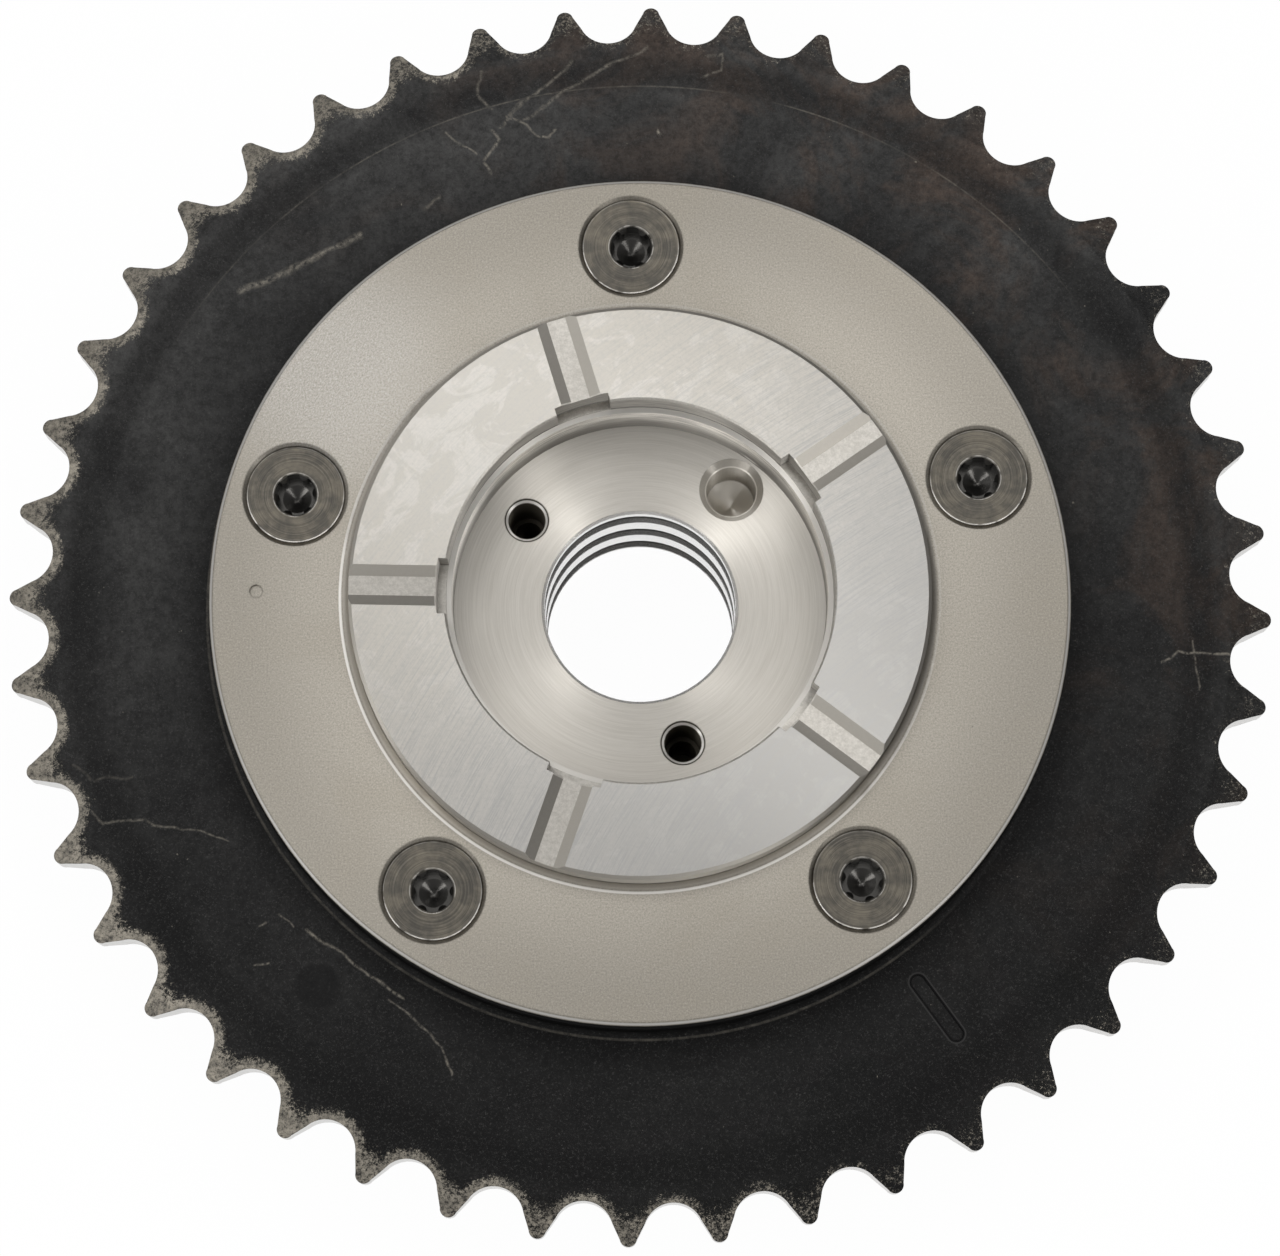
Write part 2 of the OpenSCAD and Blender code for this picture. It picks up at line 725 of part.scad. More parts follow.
module vane_spring(i) {
    slot_floor_r = chamber_r - running_gap - vane_slot_depth;
    free_h = chamber_r - seal_tip_gap - vane_seal_h - slot_floor_r;
    color("#b0aea8") rotate(rotor_turn(i))
        translate([slot_floor_r, 0, vane_z + vane_h / 2]) leaf_spring(free_h);
}

module lobe_seal(i) {
    tip = hub_r + seal_tip_gap;
    color("#4a4a4c") rotate(lobe_turn(i)) translate([0, 0, vane_z]) difference() {
        translate([tip - cut, -seal_w / 2, 0]) cube([lobe_seal_h + cut, seal_w, vane_h]);
        translate([0, 0, -cut]) cylinder(r = tip, h = vane_h + 2 * cut);
    }
}

module lobe_spring(i) {
    slot_floor_r = hub_r + running_gap + lobe_slot_depth;
    free_h = slot_floor_r - hub_r - seal_tip_gap - lobe_seal_h;
    color("#b0aea8") rotate(lobe_turn(i))
        translate([slot_floor_r, 0, vane_z + vane_h / 2]) rotate(180) leaf_spring(free_h);
}

sprocket_housing();
rear_plate();
front_cover();
rotor();
cover_screws();
lock_pin();
lock_spring();
lock_seat();
for (i = vane_numbers) {
    vane_seal(i);
    vane_spring(i);
    lobe_seal(i);
    lobe_spring(i);
}
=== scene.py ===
"""Looks of a vane-type cam phaser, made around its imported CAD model.

Everything is in the CAD model's frame: metres, the axis of rotation along Z, and the front cover
on the floor at Z = 0. Inside the materials, lengths are in millimetres.
"""

import math

import bpy
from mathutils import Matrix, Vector


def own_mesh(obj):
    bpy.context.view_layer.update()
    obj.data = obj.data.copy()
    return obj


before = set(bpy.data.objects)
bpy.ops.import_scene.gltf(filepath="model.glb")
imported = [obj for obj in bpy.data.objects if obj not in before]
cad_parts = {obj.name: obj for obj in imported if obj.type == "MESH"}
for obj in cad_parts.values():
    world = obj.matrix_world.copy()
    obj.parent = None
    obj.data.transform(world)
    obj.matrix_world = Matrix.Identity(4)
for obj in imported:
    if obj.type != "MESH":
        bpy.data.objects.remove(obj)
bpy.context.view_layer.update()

MM_PER_M = 1000

# Sizes of the part that its materials follow, in millimetres and degrees
TOOTH_COUNT = 44
FIRST_TOOTH = -1.04
PITCH_R = 66.757
GULLET_R = 3.215
TIP_R = 68.01
BODY_R = 45.65
RING_TOP_Z = 18.65
MARK_TURN = -54
MARK_START_R = 49.95
MARK_END_R = 56.65
MARK_R = 0.8
PLATE_TOP_Z = 25.4
RIM_R = 31.9
FACE_R = 30.7
FACE_Z = 28.3
MOUTH_Z = 24.6
NOTCH_R = 21.5
SEAT_Z = 18.55
BORE_R = 10.3
BORE_GROOVE_R = 11.5
OIL_HOLE_R = 1.95
OIL_HOLE_CIRCLE_R = 15.5
OIL_HOLE_TURNS = (142, -72.8)
DOWEL_AXIS = (9.87, 12.91, 0)
DOWEL_R = 2.7
DOWEL_LEAD_R = 3.47
DOWEL_FLOOR_Z = 11.55
SCREW_COUNT = 5
FIRST_SCREW = 91.47
SCREW_CIRCLE_R = 38.23
HEAD_R = 5.2
DRIVE_R = 2.3
VANE_COUNT = 5

# Places of marks, and of a band of painted shade, that only the materials show, in millimetres and
# degrees
DISH_SHADE_R = 60.2
SCRIBED_R = 58.5
BARE_WALL_R = 60
DARK_SPOT = (-34, -40.8, 0)
BRUSHED_PATCH = (-33, 24, 0)
BRUSHED_ANGLE = 57

# Middle of the arcs that the grinding wheel left on the hub's face
GRINDER = (68, -66, 0)

# Directions in which the teeth are worn, stains lie, and painted light and shade change across the
# part
TOOTH_WEAR_SIDE = (-1, -0.12, 0)
STAINED_SIDE = (0.8, 0.6, 0)
OXIDE_PAINTED_LIGHT_SIDE = (-0.1, 1, 0)
PAINTED_LIGHT_RIM_SIDE = (-0.4, -0.9, 0)
PAINTED_LIGHT_FACE_SIDE = (-0.6, 0.8, 0)
PAINTED_SHADE_FACE_LINE = (0.72, -0.69, 0)
PAINTED_LIGHT_FLANK_SIDE = (-0.82, -0.57, 0)

# Scratches on the sprocket's face: how bright, how wide, and the points they run through
SCRATCHES = [
    (0.5, 0.3, [(-15.5, 53.8), (-13.3, 56.3), (-7.5, 61.3)]),
    (0.55, 0.28, [(-12.6, 54.7), (-8.5, 57.9), (-4.2, 60.4), (0.7, 63)]),
    (0.65, 0.26, [(-14.6, 55.1), (-12.6, 54.2), (-11.2, 52.9), (-9.8, 52.6), (-9.2, 53.6)]),
    (0.65, 0.28, [(-16.5, 53.4), (-15.6, 52.4), (-17, 50.2), (-16.5, 48.5)]),
    (0.45, 0.26, [(-17.7, 60.1), (-17.8, 57.4), (-16.3, 55.9)]),
    (0.65, 0.18, [(-21.6, 53.2), (-18.1, 50.8)]),
    (0.45, 0.24, [(7.5, 62), (9.2, 62.2), (8.9, 60.1), (6.9, 59.6)]),
    (0.65, 0.55, [(-43.6, 35.2), (-38.4, 37.3), (-33.4, 40), (-30.9, 41.3)]),
    (0.5, 0.4, [(-23.8, 44.7), (-21.9, 45.9)]),
    (0.5, 0.18, [(-59, -22.2), (-57.1, -23.3), (-53, -23.1), (-43.6, -25.1)]),
    (0.2, 0.2, [(-60.8, -17.3), (-58.2, -18.9), (-53.9, -18.5)]),
    (0.5, 0.16, [(-38.2, -33), (-36.7, -34.4)]),
    (0.75, 0.22, [(-35.3, -34.8), (-31, -37.8), (-24.9, -42.1)]),
    (0.55, 0.18, [(-26.6, -42.1), (-20.9, -47), (-20.1, -50.2)]),
    (0.6, 0.18, [(-40.1, -34.5), (-39.5, -34.1)]),
    (0.6, 0.18, [(-40.7, -38.5), (-39.3, -38.4)]),
    (0.55, 0.16, [(59.4, -3.7), (59.7, -9.2)]),
    (0.65, 0.18, [(55.9, -6.1), (57.8, -4.9), (63.1, -5.4)]),
    (0.9, 0.25, [(1.7, 53.3), (1.9, 53)]),
]

# Floor and light of the room, in metres
FLOOR_HALF_WIDTH = 3
FLOOR_Z = -0.0002
FLOOR_GLOW = 0.97
BRIGHT_ROOM_SIDE = (-0.5, -0.85, 0)

# Panels of light: name, place, width, depth and radiance
PANELS = [
    ("overhead", (-0.1, 0.22, 0.9), 1.4, 0.9, 0.85),
    ("back_left", (-0.27, 0.46, 0.85), 0.2, 0.35, 4.0),
    ("back_right", (0.27, 0.46, 0.85), 0.2, 0.35, 4.0),
    ("front_left", (-0.65, -0.36, 0.64), 0.2, 0.5, 6.0),
    ("front_right", (0.55, -0.5, 0.64), 0.2, 0.5, 6.0),
]

# Camera: place in metres, tilt in degrees, lens and sensor in millimetres
CAMERA_PLACE = (0, -0.0833, 0.44)
CAMERA_TILT = 10.879
LENS = 112.39
SENSOR_WIDTH = 36


class Graph:
    """A tree of shader nodes, with short calls that add nodes and give their outputs."""

    def __init__(self, owner):
        owner.use_nodes = True
        self.tree = owner.node_tree
        self.tree.nodes.clear()

    def node(self, kind, inputs=None, **settings):
        node = self.tree.nodes.new("ShaderNode" + kind)
        for key, value in settings.items():
            setattr(node, key, value)
        for key, value in (inputs or {}).items():
            if isinstance(value, bpy.types.NodeSocket):
                self.tree.links.new(value, node.inputs[key])
            else:
                node.inputs[key].default_value = value
        return node

    def math(self, operation, *values):
        return self.node("Math", dict(enumerate(values)), operation=operation).outputs[0]

    def vector(self, operation, *values, **named):
        node = self.node("VectorMath", {**dict(enumerate(values)), **named}, operation=operation)
        number = operation in ("LENGTH", "DISTANCE", "DOT_PRODUCT")
        return node.outputs["Value" if number else "Vector"]

    def add(self, a, b):
        return self.math("ADD", a, b)

    def minus(self, a, b):
        return self.math("SUBTRACT", a, b)

    def times(self, a, *others):
        for b in others:
            a = self.math("MULTIPLY", a, b)
        return a

    def most(self, *values):
        top = values[0]
        for value in values[1:]:
            top = self.math("MAXIMUM", top, value)
        return top

    def limit(self, value, low, high):
        return self.math("MINIMUM", self.math("MAXIMUM", value, low), high)

    def split(self, vector):
        return self.node("SeparateXYZ", {0: vector}).outputs

    def join(self, x, y, z):
        return self.node("CombineXYZ", {0: x, 1: y, 2: z}).outputs[0]

    def step(self, value, start, end, low=0.0, high=1.0):
        """A smooth step from low at start to high at end, where start is less than end."""
        inputs = {"Value": value, "From Min": start, "From Max": end, "To Min": low, "To Max": high}
        settings = {"interpolation_type": "SMOOTHSTEP", "clamp": False}
        return self.node("MapRange", inputs, **settings).outputs[0]

    def band(self, value, middle, half_width, soft):
        """1 within half_width of the middle, falling to 0 over the soft length beyond."""
        distance = self.math("ABSOLUTE", self.minus(value, middle))
        return self.step(distance, half_width, half_width + soft, 1, 0)

    def mix(self, factor, a, b, kind="MIX"):
        """A colour between a and b, or another mixture of them."""
        inputs = {0: factor, 6: a, 7: b}
        return self.node("Mix", inputs, data_type="RGBA", blend_type=kind).outputs[2]

    def blend(self, factor, a, b):
        """A number between a and b."""
        return self.node("Mix", {0: factor, 2: a, 3: b}, data_type="FLOAT").outputs[0]


class Shader(Graph):
    """One material of the part, with the place on it in millimetres."""

    def __init__(self, name):
        self.material = bpy.data.materials.new(name)
        super().__init__(self.material)
        self.coords = self.node("TexCoord").outputs
        self.p = self.vector("SCALE", self.coords["Object"], Scale=MM_PER_M)
        self.x, self.y, self.z = self.split(self.p)
        self.flat = self.join(self.x, self.y, 0)
        self.r = self.vector("LENGTH", self.flat)
        self.nz = self.split(self.coords["Normal"])[2]

    def noise(self, scale, detail=2.0, roughness=0.5, distortion=0.0, at=None):
        """Noise from 0 to 1 at the place on the part, or at other coordinates."""
        inputs = {"Vector": at or self.p, "Scale": scale, "Detail": detail,
                  "Roughness": roughness, "Distortion": distortion}
        return self.node("TexNoise", inputs).outputs[0]

    def shake(self, scale, size):
        """A level vector that wanders by about the size, to make straight lines uneven."""
        inputs = {"Vector": self.p, "Scale": scale, "Detail": 2.0}
        away = self.vector("SUBTRACT", self.node("TexNoise", inputs).outputs[1], (0.5, 0.5, 0.5))
        return self.vector("MULTIPLY", away, (2 * size, 2 * size, 0))

    def towards(self, direction):
        """How far the place lies from the axis in a direction."""
        return self.vector("DOT_PRODUCT", self.flat, direction)

    def distance(self, place):
        """Distance from the upright line through a place."""
        return self.vector("DISTANCE", self.flat, place)

    def nearest(self, first, count, circle_r):
        """Distance from the nearest of some points on a circle, the angle, and the angle past it."""
        angle = self.math("ARCTAN2", self.y, self.x)
        step = math.tau / count
        past = self.minus(angle, math.radians(first) - step / 2)
        fold = self.minus(self.math("FLOORED_MODULO", past, step), step / 2)
        along = self.minus(self.times(self.r, self.math("COSINE", fold)), circle_r)
        across = self.times(self.r, self.math("SINE", fold))
        return self.vector("LENGTH", self.join(along, across, 0)), angle, fold

    def turned(self, centre=(0, 0, 0), along=1.0):
        """Coordinates in which noise becomes fine rings about a centre."""
        off = self.vector("SUBTRACT", self.flat, centre)
        turn = self.vector("SCALE", self.vector("NORMALIZE", off), Scale=along)
        turn_x, turn_y, _ = self.split(turn)
        return self.join(self.vector("LENGTH", off), turn_x, turn_y)

    def streaks(self, angle, length):
        """Coordinates in which noise becomes short straight strokes at an angle."""
        c, s = math.cos(math.radians(angle)), math.sin(math.radians(angle))
        along = self.towards((c, s, 0))
        across = self.towards((-s, c, 0))
        return self.join(self.times(along, 1 / length), across, 0)

    def across_rings(self, centre=(0, 0, 0)):
        """The direction away from a centre, along which ring-shaped tool marks spread the gloss."""
        return self.vector("NORMALIZE", self.vector("SUBTRACT", self.flat, centre))

    def edge(self, radius):
        """The surface's normal with its sharp edges rounded to a radius in millimetres."""
        return self.node("Bevel", {"Radius": radius / MM_PER_M}, samples=2).outputs[0]

    def bump(self, height, depth, normal):
        """A normal for a height from 0 to 1 that stands for a depth in millimetres."""
        inputs = {"Strength": 1.0, "Distance": depth / MM_PER_M, "Height": height, "Normal": normal}
        return self.node("Bump", inputs).outputs[0]

    def finish(self, colour, roughness, normal, **fixed):
        """Gives the finished material, with the other inputs of its surface."""
        inputs = {"Base Color": colour, "Roughness": roughness, "Normal": normal}
        named = {key.replace("_", " "): value for key, value in fixed.items()}
        surface = self.node("BsdfPrincipled", {**inputs, **named}).outputs[0]
        self.node("OutputMaterial", {"Surface": surface})
        return self.material


def grey(level, warmth=0.0):
    """A grey with its blue lowered by the warmth."""
    return (level, level * (1 - warmth * 0.37), level * (1 - warmth), 1)


def scratches(s):
    """How much the scratches bare the metal of the sprocket's upper face."""
    point = s.vector("ADD", s.flat, s.shake(0.25, 0.8))
    marks = 0.0
    for strength, width, points in SCRATCHES:
        for start, end in zip(points, points[1:]):
            run = Vector((*end, 0)) - Vector((*start, 0))
            from_start = s.vector("SUBTRACT", point, (*start, 0))
            share = s.vector("DOT_PRODUCT", from_start, run / run.length_squared)
            share = s.limit(share, 0, 1)
            distance = s.vector("DISTANCE", from_start, s.vector("SCALE", run, Scale=share))
            marks = s.most(marks, s.math("MULTIPLY_ADD", distance, -strength / width, strength))
    breaks = s.step(s.noise(2.4, 3, 0.7), 0.32, 0.54)
    upper_face = s.step(s.z, RING_TOP_Z - 0.3, RING_TOP_Z - 0.1)
    return s.times(marks, breaks, upper_face)


def tooth_wear(s):
    """How far the tooth sides are worn bare: most at the left, along gullets and at tips."""
    from_gullet, _, _ = s.nearest(FIRST_TOOTH + 180 / TOOTH_COUNT, TOOTH_COUNT, PITCH_R)
    to_gullet = s.minus(from_gullet, GULLET_R)
    towards_left = s.vector("DOT_PRODUCT", s.vector("NORMALIZE", s.flat), TOOTH_WEAR_SIDE)
    side = s.step(s.add(towards_left, s.times(s.noise(0.05), 0.8)), -0.1, 1.2)
    inside = s.step(to_gullet, 0, 2.6, 1, 0)
    tip = s.times(s.step(s.r, TIP_R - 6.5, TIP_R - 1.5), s.blend(side, 0.48, 0.85))
    worn = s.most(s.times(inside, s.blend(side, 0.45, 0.9)), tip)
    specks = s.noise(2.6, 4, 0.95)
    lift = s.times(s.minus(worn, 0.6), 0.55)
    bare = s.step(s.add(specks, lift), 0.47, 0.59)
    return s.times(bare, s.step(worn, 0.05, 0.3))


def timing_mark(s):
    """Distance to the middle line of the sprocket's oblong timing mark."""
    turn = math.radians(MARK_TURN)
    way = Vector((math.cos(turn), math.sin(turn), 0))
    along = s.limit(s.towards(way), MARK_START_R, MARK_END_R)
    return s.vector("DISTANCE", s.flat, s.vector("SCALE", way, Scale=along))


def oxide_material():
    """Black oxide on sintered steel, with worn teeth, scratches and dust, and with painted light and
    shade: lighter towards the top, darker next to the body and in a band near the teeth, a painted
    highlight along the fillet and a painted outline round the timing mark.
    """
    s = Shader("black_oxide")
    cloud = s.noise(0.05, 5, 0.65, 0.5)
    grain = s.noise(4.0, 4, 0.95)
    warm_side = s.step(s.towards(STAINED_SIDE), -20, 60)
    stain = s.times(s.step(s.noise(0.06, 5, 0.7, 1.0), 0.45, 0.65), warm_side)
    spot = s.step(s.distance(DARK_SPOT), 1.9, 2.8, 0.6, 0)
    # Painted light: the oxide's face is lighter towards the top and darker towards the bottom.
    painted_light_slope = s.towards(OXIDE_PAINTED_LIGHT_SIDE)
    mottle = s.step(s.noise(1.1, 4, 0.8), 0.3, 0.7, 0.6, 1.4)
    # Painted shade: the oxide is darker within 5 mm of the body, as a contact shadow.
    body_painted_shade = s.step(s.r, BODY_R, BODY_R + 5, 0.5, 1)
    # Painted shade: a darker band on the face near the teeth, standing in for the shading of a
    # shallow dish.
    dish_painted_shade = s.blend(s.band(s.r, DISH_SHADE_R, 0.6, 2.2), 1.0, 0.5)
    # The lift holds the painted light and shade above and a random mottle.
    lift = s.times(s.step(painted_light_slope, -62, 62, 0.34, 2.45), body_painted_shade, dish_painted_shade, mottle)
    black = s.mix(s.step(cloud, 0.3, 0.7), grey(0.006), grey(0.02, 0.04))
    black = s.mix(s.times(stain, 0.75), black, (0.026, 0.0185, 0.0145, 1))
    black = s.mix(1.0, black, s.join(lift, lift, lift), "MULTIPLY")
    black = s.mix(s.step(grain, 0.52, 0.8), black, grey(0.085, 0.06))
    black = s.mix(s.step(grain, 0.25, 0.45, 0.6, 0), black, grey(0.004))
    upright = s.step(s.math("ABSOLUTE", s.nz), 0.2, 0.6, 1, 0)
    wall = s.times(upright, s.step(s.r, BODY_R + 1, BODY_R + 2, 1, 0))
    black = s.mix(s.most(spot, wall), black, grey(0.002))
    past_mark = s.minus(timing_mark(s), MARK_R)
    # Painted shade: a dark outline along the timing mark's recessed edge; painted highlight: a faint
    # light line just outside it.
    black = s.mix(s.band(past_mark, 0.0, 0.08, 0.08), black, grey(0.001))
    black = s.mix(s.band(past_mark, 0.2, 0.04, 0.08), black, grey(0.025, 0.05))
    dust = s.step(s.noise(1.7, 2, 0.5), 0.765, 0.8)
    scribed = s.times(s.band(s.r, SCRIBED_R, 0.03, 0.1), s.step(s.y, 25, 50),
                      s.step(s.noise(0.1), 0.3, 0.6))
    # Painted highlight: a light line along the fillet at the foot of the body, towards the bottom
    # left.
    fillet_highlight = s.times(s.band(s.r, BODY_R + 0.85, 0.06, 0.14),
                     s.step(s.add(s.x, s.y), -15, 5, 0.22, 0))
    marks = s.most(scratches(s), s.times(scribed, 0.3), s.times(dust, 0.5), fillet_highlight)
    # Worn teeth, scratches, dust and the painted fillet highlight together.
    wear_and_highlight = s.most(tooth_wear(s), marks)
    patches = s.step(s.noise(1.3, 5, 0.85), 0.3, 0.7)
    worn = s.mix(patches, grey(0.06, 0.15), grey(0.3, 0.24))
    bare = s.times(upright, s.step(s.r, BARE_WALL_R, BARE_WALL_R + 1))
    colour = s.mix(s.most(wear_and_highlight, bare), black, s.mix(bare, worn, grey(0.62, 0.04)))
    roughness = s.blend(bare, s.blend(wear_and_highlight, s.blend(cloud, 0.45, 0.6), 0.5), 0.3)
    normal = s.bump(grain, 0.012, s.edge(0.15))
    metal = s.times(s.most(wear_and_highlight, bare), 0.8)
    return s.finish(colour, roughness, normal, Metallic=metal, Specular_IOR_Level=0.12)


def plate_material():
    """Blasted plate steel, lightly stained and brushed, with the outer wall near black, painted
    light on the bottom side of the opening's rounded rim, and painted highlights along that rim and
    the outer chamfer.
    """
    s = Shader("blasted_plate")
    stain = s.noise(0.07, 4, 0.55, 0.4)
    fine = s.noise(5.0, 4, 0.9)
    brushed = s.noise(8.0, 3, 0.7, at=s.streaks(BRUSHED_ANGLE, 3))
    patch = s.step(s.distance(BRUSHED_PATCH), 4, 18, 1, 0)
    tone = s.mix(s.step(s.r, 32, 44), grey(0.36, 0.2), grey(0.28, 0.21))
    tone = s.mix(s.times(s.step(stain, 0.4, 0.7), 0.4), tone, grey(0.29, 0.26))
    tone = s.mix(s.times(patch, s.step(brushed, 0.2, 0.8)), tone, grey(0.46, 0.1))
    tone = s.mix(s.step(fine, 0.42, 0.75, 0, 0.9), tone, grey(0.18, 0.18))
    tone = s.mix(s.step(fine, 0.25, 0.5, 0.5, 0), tone, grey(0.52, 0.12))
    # Painted light: the rounded rim round the opening is light on its bottom side and dark on its
    # top side.
    lower = s.step(s.towards(PAINTED_LIGHT_RIM_SIDE), -12, 18, 0.15, 1)
    rim_tone_and_painted_light = s.mix(lower, grey(0.27, 0.15), grey(0.75, 0.12))
    tone = s.mix(s.step(s.r, RIM_R - 0.6, RIM_R - 0.3, 0.7, 0), tone, rim_tone_and_painted_light)
    # Painted highlight: a light line along the plate's outer chamfer.
    tone = s.mix(s.band(s.r, BODY_R - 0.2, 0.06, 0.1), tone, grey(0.55, 0.08))
    # Painted highlight: a light line along the opening's edge, on its bottom side.
    tone = s.mix(s.times(s.band(s.r, RIM_R - 0.15, 0.08, 0.12), lower), tone, grey(0.7, 0.08))
    pits = s.times(s.step(s.noise(0.9), 0.77, 0.82), 0.6)
    tone = s.mix(pits, tone, grey(0.12, 0.2))
    wall = s.times(s.step(s.nz, 0.25, 0.5, 1, 0), s.step(s.r, BODY_R - 0.5, BODY_R - 0.3))
    colour = s.mix(wall, tone, grey(0.004))
    roughness = s.blend(wall, s.blend(fine, 0.36, 0.5), 0.55)
    metal = s.blend(wall, 1.0, 0.0)
    normal = s.bump(fine, 0.005, s.edge(0.25))
    return s.finish(colour, roughness, normal, Metallic=metal, Specular_IOR_Level=0.3,
                    Anisotropic=0.5, Tangent=s.across_rings())


def face_tone(s, arcs, cloud, fine):
    """The hub's ground face: grinding arcs and light blots, with painted light towards the upper
    left and a band of painted shade across.
    """
    outer = s.vector("SCALE", s.flat, Scale=1 / FACE_R)
    # Painted light: the face is lighter towards the upper left; the arcs and blots follow it.
    painted_lightness = s.vector("DOT_PRODUCT", outer, PAINTED_LIGHT_FACE_SIDE)
    ground = s.step(painted_lightness, -0.6, 0.9, 0.9, 0.35)
    blots = s.times(s.step(cloud, 0.49, 0.59), s.step(painted_lightness, -0.2, 0.6, 0.06, 0.17))
    # Painted shade: a darker band across the face, from bottom right to upper left.
    painted_shade_line = s.vector("DOT_PRODUCT", s.vector("NORMALIZE", s.flat), PAINTED_SHADE_FACE_LINE)
    tone = s.mix(s.step(painted_lightness, -0.8, 0.8), grey(0.47, 0.08), grey(0.55, 0.16))
    tone = s.mix(s.times(painted_shade_line, painted_shade_line, 0.45), tone, grey(0.25, 0.1))
    tone = s.mix(blots, tone, grey(0.8, 0.06))
    tone = s.mix(s.times(s.step(arcs, 0.43, 0.65), ground), tone, grey(0.37, 0.04))
    return s.mix(s.step(fine, 0.42, 0.8, 0, 0.6), tone, grey(0.36, 0.06))


def groove_tone(s, fine):
    """The milled grooves in the hub's face, with painted light and shade on their flanks by the way
    each flank turns.
    """
    tone = s.mix(s.step(fine, 0.3, 0.7), grey(0.46, 0.14), grey(0.62, 0.12))
    flank = s.times(s.step(s.nz, 0.9, 0.97, 0.9, 0), s.step(s.r, NOTCH_R + 0.1, NOTCH_R + 0.2))
    # Painted light and shade: flanks turned towards the bottom left are lighter, flanks turned away
    # darker.
    painted_light_facing = s.vector("DOT_PRODUCT", s.coords["Normal"], PAINTED_LIGHT_FLANK_SIDE)
    flank_painted_light = s.mix(s.step(painted_light_facing, -0.45, 0.45), grey(0.22, 0.16), grey(0.42, 0.16))
    return s.mix(flank, tone, flank_painted_light)


def seat_wall_tone(s, layers):
    """The turned wall of the seat, with painted shade: darker down towards the seat, lighter towards
    its mouth, and a dark line just above the ledge.
    """
    # Painted shade: the wall darkens down towards the seat's floor.
    tone = s.mix(s.step(s.z, SEAT_Z + 1, MOUTH_Z - 0.5), grey(0.3, 0.12), grey(0.95, 0.1))
    tone = s.mix(s.step(s.z, MOUTH_Z, MOUTH_Z + 0.3), tone, grey(0.48, 0.12))
    tone = s.mix(s.step(layers, 0.44, 0.6, 0, 0.5), tone, grey(0.2, 0.12))
    # Painted shade: a dark line in the corner just above the ledge.
    corner = s.band(s.z, MOUTH_Z + 0.3, 0.15, 0.15)
    return s.mix(s.times(corner, 0.7), tone, grey(0.12, 0.12))


def add_oil_holes(s, colour, below_seat):
    """Oil holes in the seat's floor, with painted shade inside and a painted highlight on their
    lips.
    """
    for turn in OIL_HOLE_TURNS:
        angle = math.radians(turn)
        axis = (OIL_HOLE_CIRCLE_R * math.cos(angle), OIL_HOLE_CIRCLE_R * math.sin(angle), 0)
        off = s.distance(axis)
        # Painted shade inside each hole and its chamfer, with a painted highlight ring round its
        # edge.
        hole = s.times(below_seat, s.step(off, OIL_HOLE_R + 0.5, OIL_HOLE_R + 0.6, 1, 0))
        lip = s.band(off, OIL_HOLE_R + 0.18, 0.1, 0.04)
        colour = s.mix(hole, colour, s.mix(lip, grey(0.09, 0.3), grey(0.85, 0.08)))
    return colour


def add_dowel_hole(s, colour, below_seat, fine):
    """The dowel hole in the seat's floor, with painted light on its floor and a painted highlight on
    its lead edge.
    """
    off = s.distance(DOWEL_AXIS)
    hole = s.times(below_seat, s.step(off, DOWEL_LEAD_R + 0.03, DOWEL_LEAD_R + 0.13, 1, 0))
    # Painted light: the floor of the hole is made bright; painted highlight: a bright ring on the
    # lead edge.
    hole_floor = s.times(hole, s.step(s.z, DOWEL_FLOOR_Z - 0.1, DOWEL_FLOOR_Z, 1, 0))
    lead_edge = s.times(hole, s.band(off, DOWEL_R + 0.08, 0.04, 0.05))
    colour = s.mix(hole, colour, s.mix(fine, grey(0.5, 0.15), grey(0.66, 0.14)))
    return s.mix(s.most(hole_floor, lead_edge), colour, grey(0.85, 0.12))


